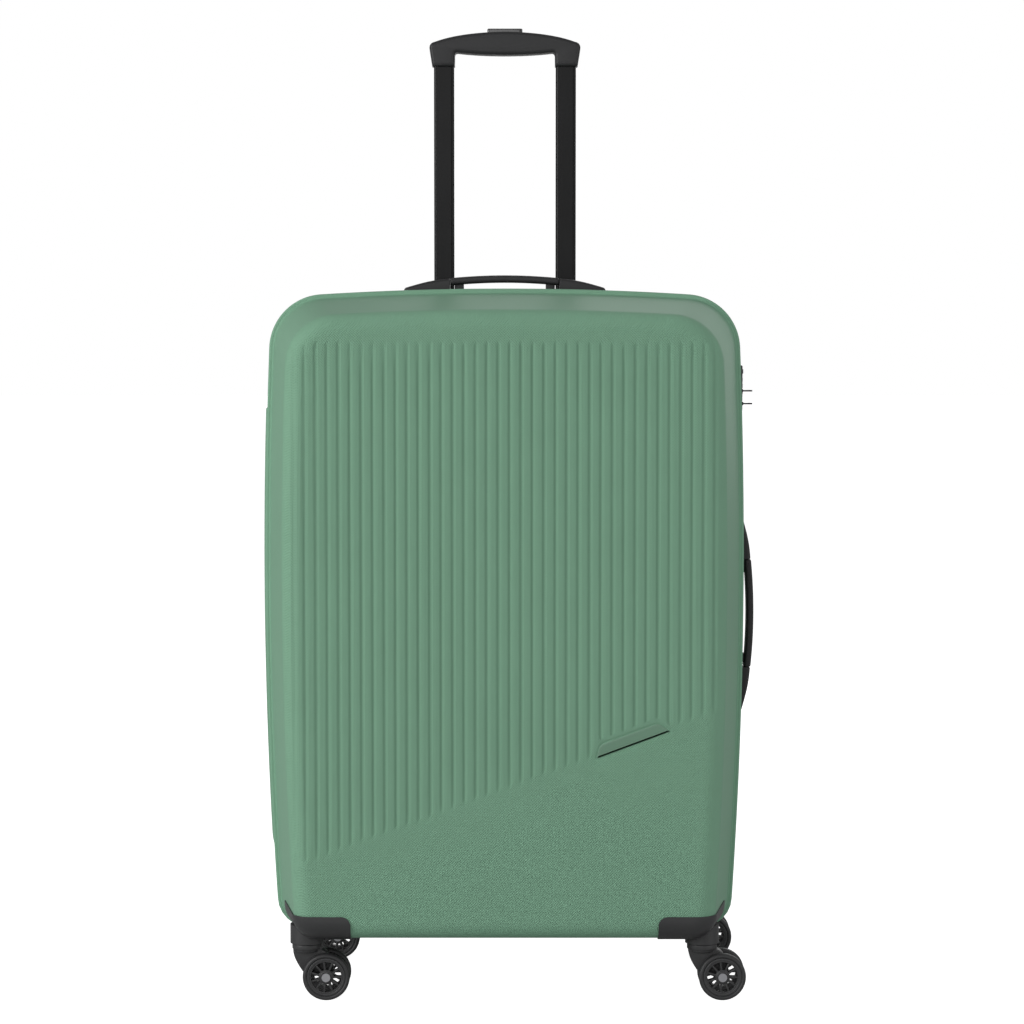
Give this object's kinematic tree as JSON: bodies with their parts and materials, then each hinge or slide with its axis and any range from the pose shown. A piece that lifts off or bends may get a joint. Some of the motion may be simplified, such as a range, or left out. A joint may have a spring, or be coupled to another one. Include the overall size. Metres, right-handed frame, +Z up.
{
  "type": "wheeled hard shell suitcase",
  "caption": "Hard clamshell suitcase with ribbed shell, telescopic trolley, carry handles, zip, combination lock and swivel twin-wheel casters.",
  "frame": {"origin": "on the floor, under the middle of the whole case's bounding box, with the trolley drawn out", "axes": "+Z up along the case's height, +Y from the ribbed front half towards the back half with the trolley, +X to the right of the front"},
  "size_m": [0.5369, 0.303, 1.0484],
  "materials": {
    "shell_green": "fine embossed cross texture, satin",
    "badge_green": "smooth satin",
    "hinge_green": "smooth matt flexible strip",
    "zip_black": "woven tape with nylon coil",
    "lining_grey": "plain woven polyester",
    "strap_black": "ribbed webbing",
    "black_plastic": "fine grain moulded",
    "gloss_black": "polished moulded",
    "tube_black": "black anodised, glossy",
    "tube_silver": "drawn, satin",
    "wheel_core": "moulded nylon with rubber tyre",
    "steel": "zinc plated",
    "dark_metal": "black plated",
    "lock_black": "satin black"
  },
  "bodies": {
    "back_half": {"back_shell": "shell_green", "back_lining": "lining_grey", "zipper_back": "zip_black", "hinge_tape_back": "hinge_green", "strap_left": "strap_black", "strap_right": "strap_black", "strap_buckle": "black_plastic", "trolley_tray": "black_plastic", "trolley_foot": "black_plastic", "outer_tube_left": "tube_silver", "outer_tube_right": "tube_silver", "top_handle_base": "black_plastic", "side_handle_base": "black_plastic", "shell_screws": "steel", "lock_body": "lock_black", "guard_rear_left": "black_plastic", "guard_rear_right": "black_plastic", "kingpins_rear": "steel"},
    "front_half": {"front_shell": "shell_green", "front_lining": "lining_grey", "zipper_front": "zip_black", "hinge_tape_front": "hinge_green", "badge_plate": "badge_green", "guard_front_left": "black_plastic", "guard_front_right": "black_plastic", "kingpins_front": "steel", "guard_screws_front": "black_plastic"},
    "trolley": {"inner_tube_left": "tube_black", "inner_tube_right": "tube_black", "latch_blocks": "black_plastic", "trolley_grip": "black_plastic"},
    "push_button": {"trolley_button": "gloss_black", "release_yoke": "black_plastic"},
    "top_handle": {"top_handle_grip": "black_plastic"},
    "side_handle": {"side_handle_grip": "black_plastic"},
    "zip_slider_upper": {"slider_upper": "dark_metal"},
    "zip_slider_lower": {"slider_lower": "dark_metal"},
    "zip_pull_upper": {"pull_upper": "dark_metal"},
    "zip_pull_lower": {"pull_lower": "dark_metal"},
    "dial_1": {"lock_dial_1": "lock_black"},
    "dial_2": {"lock_dial_2": "lock_black"},
    "dial_3": {"lock_dial_3": "lock_black"},
    "lock_button": {"lock_release": "lock_black"},
    "key_barrel": {"key_cylinder": "dark_metal"},
    "swivel_front_left": {"fork_front_left": "black_plastic", "axle_front_left": "steel"},
    "wheel_front_left_front_spin": {"wheel_front_left_front": "wheel_core"},
    "wheel_front_left_rear_spin": {"wheel_front_left_rear": "wheel_core"},
    "swivel_front_right": {"fork_front_right": "black_plastic", "axle_front_right": "steel"},
    "wheel_front_right_front_spin": {"wheel_front_right_front": "wheel_core"},
    "wheel_front_right_rear_spin": {"wheel_front_right_rear": "wheel_core"},
    "swivel_rear_left": {"fork_rear_left": "black_plastic", "axle_rear_left": "steel"},
    "wheel_rear_left_front_spin": {"wheel_rear_left_front": "wheel_core"},
    "wheel_rear_left_rear_spin": {"wheel_rear_left_rear": "wheel_core"},
    "swivel_rear_right": {"fork_rear_right": "black_plastic", "axle_rear_right": "steel"},
    "wheel_rear_right_front_spin": {"wheel_rear_right_front": "wheel_core"},
    "wheel_rear_right_rear_spin": {"wheel_rear_right_rear": "wheel_core"}
  },
  "joints": [
    {"name": "lid_hinge", "type": "hinge", "parent": "back_half", "child": "front_half", "pos_m": [-0.26878, 0, 0.4], "axis": [0, 0, -1], "range_deg": [0, 175]},
    {"name": "trolley_slide", "type": "slide", "parent": "back_half", "child": "trolley", "axis": [0, 0, 1], "range_m": [-0.286, 0]},
    {"name": "button_press", "type": "slide", "parent": "trolley", "child": "push_button", "axis": [0, 0, -1], "range_m": [0, 0.003], "stiffness_N_per_m": 400, "springref_m": -0.003},
    {"name": "top_handle_lift", "type": "slide", "parent": "back_half", "child": "top_handle", "axis": [0, 0, 1], "range_m": [0, 0.012], "stiffness_N_per_m": 250, "springref_m": -0.004},
    {"name": "side_handle_lift", "type": "slide", "parent": "back_half", "child": "side_handle", "axis": [1, 0, 0], "range_m": [0, 0.012], "stiffness_N_per_m": 250, "springref_m": -0.004},
    {"name": "zip_upper_slide", "type": "slide", "parent": "back_half", "child": "zip_slider_upper", "axis": [-0.0365, 0, 0.9993], "range_m": [0, 0.035]},
    {"name": "pull_upper_swing", "type": "hinge", "parent": "zip_slider_upper", "child": "zip_pull_upper", "pos_m": [0.25169, 0, 0.645], "axis": [0, 1, 0], "range_deg": [-75, 25]},
    {"name": "zip_lower_slide", "type": "slide", "parent": "back_half", "child": "zip_slider_lower", "axis": [0.0224, 0, -0.9997], "range_m": [0, 0.1]},
    {"name": "pull_lower_swing", "type": "hinge", "parent": "zip_slider_lower", "child": "zip_pull_lower", "pos_m": [0.25214, 0, 0.631], "axis": [0, 1, 0], "range_deg": [-25, 75]},
    {"name": "dial_1_turn", "type": "hinge", "parent": "back_half", "child": "dial_1", "pos_m": [0.24882, 0.0245, 0.6566], "axis": [0, 0, 1], "continuous": true},
    {"name": "dial_2_turn", "type": "hinge", "parent": "back_half", "child": "dial_2", "pos_m": [0.24882, 0.0245, 0.65], "axis": [0, 0, 1], "continuous": true},
    {"name": "dial_3_turn", "type": "hinge", "parent": "back_half", "child": "dial_3", "pos_m": [0.24882, 0.0245, 0.6434], "axis": [0, 0, 1], "continuous": true},
    {"name": "lock_button_press", "type": "slide", "parent": "back_half", "child": "lock_button", "axis": [-1, 0, 0], "range_m": [0, 0.0015], "stiffness_N_per_m": 300, "springref_m": -0.002},
    {"name": "key_turn", "type": "hinge", "parent": "back_half", "child": "key_barrel", "pos_m": [0.25342, 0.0245, 0.632], "axis": [1, 0, 0], "range_deg": [0, 90]},
    {"name": "swivel_front_left_turn", "type": "hinge", "parent": "front_half", "child": "swivel_front_left", "pos_m": [-0.21708, -0.105, 0.05], "axis": [0, 0, 1], "continuous": true},
    {"name": "wheel_front_left_front_roll", "type": "hinge", "parent": "swivel_front_left", "child": "wheel_front_left_front_spin", "pos_m": [-0.19608, -0.1189, 0.025], "axis": [0, 1, 0], "continuous": true},
    {"name": "wheel_front_left_rear_roll", "type": "hinge", "parent": "swivel_front_left", "child": "wheel_front_left_rear_spin", "pos_m": [-0.19608, -0.0911, 0.025], "axis": [0, 1, 0], "continuous": true},
    {"name": "swivel_front_right_turn", "type": "hinge", "parent": "front_half", "child": "swivel_front_right", "pos_m": [0.20392, -0.105, 0.05], "axis": [0, 0, 1], "continuous": true},
    {"name": "wheel_front_right_front_roll", "type": "hinge", "parent": "swivel_front_right", "child": "wheel_front_right_front_spin", "pos_m": [0.22492, -0.1189, 0.025], "axis": [0, 1, 0], "continuous": true},
    {"name": "wheel_front_right_rear_roll", "type": "hinge", "parent": "swivel_front_right", "child": "wheel_front_right_rear_spin", "pos_m": [0.22492, -0.0911, 0.025], "axis": [0, 1, 0], "continuous": true},
    {"name": "swivel_rear_left_turn", "type": "hinge", "parent": "back_half", "child": "swivel_rear_left", "pos_m": [-0.21708, 0.105, 0.05], "axis": [0, 0, 1], "continuous": true},
    {"name": "wheel_rear_left_front_roll", "type": "hinge", "parent": "swivel_rear_left", "child": "wheel_rear_left_front_spin", "pos_m": [-0.19608, 0.0911, 0.025], "axis": [0, 1, 0], "continuous": true},
    {"name": "wheel_rear_left_rear_roll", "type": "hinge", "parent": "swivel_rear_left", "child": "wheel_rear_left_rear_spin", "pos_m": [-0.19608, 0.1189, 0.025], "axis": [0, 1, 0], "continuous": true},
    {"name": "swivel_rear_right_turn", "type": "hinge", "parent": "back_half", "child": "swivel_rear_right", "pos_m": [0.20392, 0.105, 0.05], "axis": [0, 0, 1], "continuous": true},
    {"name": "wheel_rear_right_front_roll", "type": "hinge", "parent": "swivel_rear_right", "child": "wheel_rear_right_front_spin", "pos_m": [0.22492, 0.0911, 0.025], "axis": [0, 1, 0], "continuous": true},
    {"name": "wheel_rear_right_rear_roll", "type": "hinge", "parent": "swivel_rear_right", "child": "wheel_rear_right_rear_spin", "pos_m": [0.22492, 0.1189, 0.025], "axis": [0, 1, 0], "continuous": true}
  ]
}
